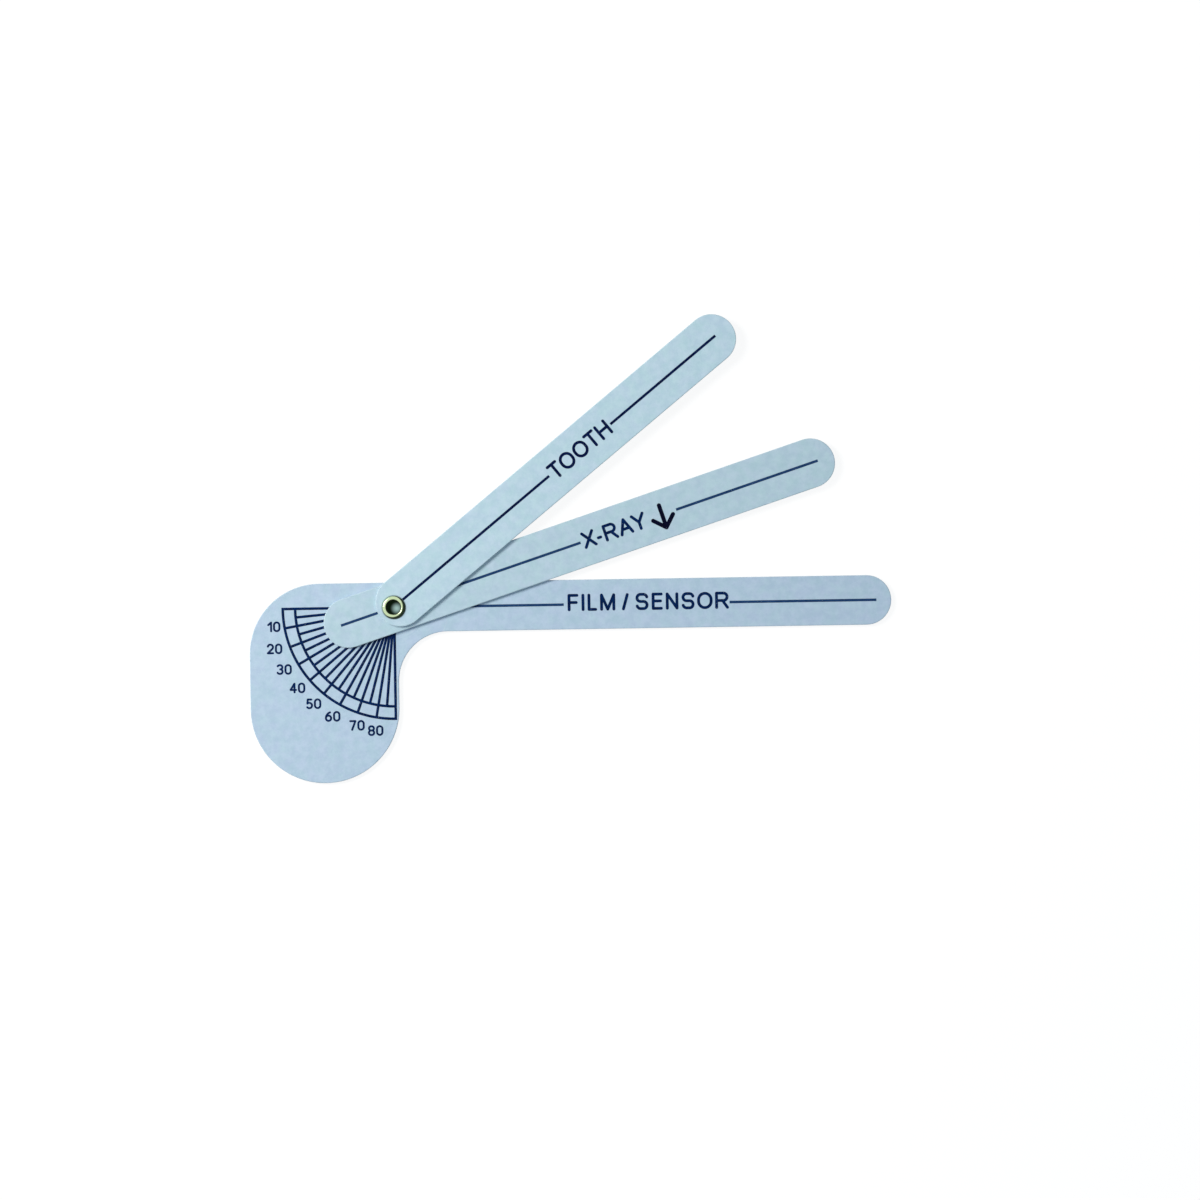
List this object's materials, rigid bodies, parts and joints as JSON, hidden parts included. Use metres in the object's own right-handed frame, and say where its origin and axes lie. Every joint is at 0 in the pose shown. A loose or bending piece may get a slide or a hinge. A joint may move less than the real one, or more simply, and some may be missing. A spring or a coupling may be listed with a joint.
{
  "type": "goniometer",
  "caption": "Flat pocket goniometer for dental radiography: thin plastic arms for film or sensor, X-ray beam and tooth turn on one hollow eyelet over a quarter-circle degree scale.",
  "frame": {"origin": "on the axis of the hollow eyelet, at the back face of the rear sheet", "axes": "+X along the film / sensor arm towards its tip, +Z out of the printed side along the eyelet's axis, +Y to the side that the X-ray and tooth arms swing to"},
  "size_m": [0.1632, 0.1175, 0.0037],
  "materials": {
    "plastic": "matt rigid vinyl sheet, pale blue-grey",
    "ink": "screen-printed ink, dark navy blue",
    "brass": "pressed and lightly polished"
  },
  "bodies": {
    "film_plate": {"film_sensor_plate": "plastic", "pivot_eyelet": "brass", "scale_graduations": "ink", "scale_numerals": "ink", "film_arm_line": "ink", "film_arm_legend": "ink"},
    "x_ray_arm": {"x_ray_blade": "plastic", "x_ray_arm_line": "ink", "x_ray_arm_legend": "ink", "x_ray_arm_arrow": "ink", "x_ray_tail_pointer": "ink"},
    "tooth_arm": {"tooth_blade": "plastic", "tooth_arm_line": "ink", "tooth_arm_legend": "ink"}
  },
  "joints": [
    {"name": "x_ray_arm_pivot", "type": "hinge", "parent": "film_plate", "child": "x_ray_arm", "pos_m": [0, 0, 0.0013], "axis": [0, 0, 1], "continuous": true},
    {"name": "tooth_arm_pivot", "type": "hinge", "parent": "film_plate", "child": "tooth_arm", "pos_m": [0, 0, 0.0022], "axis": [0, 0, 1], "continuous": true}
  ]
}
